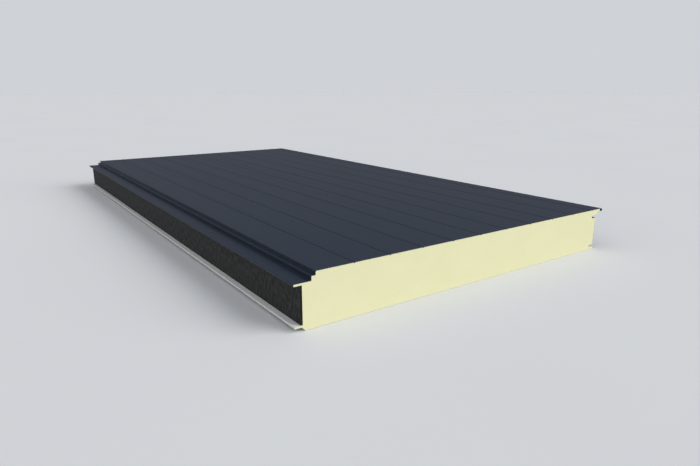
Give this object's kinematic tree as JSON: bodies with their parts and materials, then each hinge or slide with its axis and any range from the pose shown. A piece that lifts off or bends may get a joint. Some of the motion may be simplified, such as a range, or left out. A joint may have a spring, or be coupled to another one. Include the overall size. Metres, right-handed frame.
{
  "type": "insulated wall panel",
  "caption": "Insulated sandwich wall panel: dark grooved steel outside, pale steel inside, foam core between, and tongue and groove long edges that hide the fixings.",
  "frame": {"origin": "centre of the panel's bounding box at floor level: on the inner face, half-way along, half-way between the tongues' tips and the nose", "axes": "+X from the tongue edge to the groove edge, +Y along the panel, +Z out of the outer face"},
  "size_m": [1.046, 2, 0.12],
  "materials": {
    "outer_coating": "satin anthracite coil coating on galvanised steel",
    "inner_coating": "satin grey-white coil coating on galvanised steel",
    "foam": "cream rigid foam, fine closed cells, sawn at the ends",
    "joint_seal": "charcoal soft sealing strip with a fibrous face of faint upright streaks",
    "side_tape": "charcoal facing tape with faint upright creases"
  },
  "bodies": {
    "root": {"outer_sheet": "outer_coating", "inner_sheet": "inner_coating", "foam_core": "foam", "tongue_side_seal": "joint_seal", "groove_side_tape": "side_tape"}
  },
  "joints": []
}
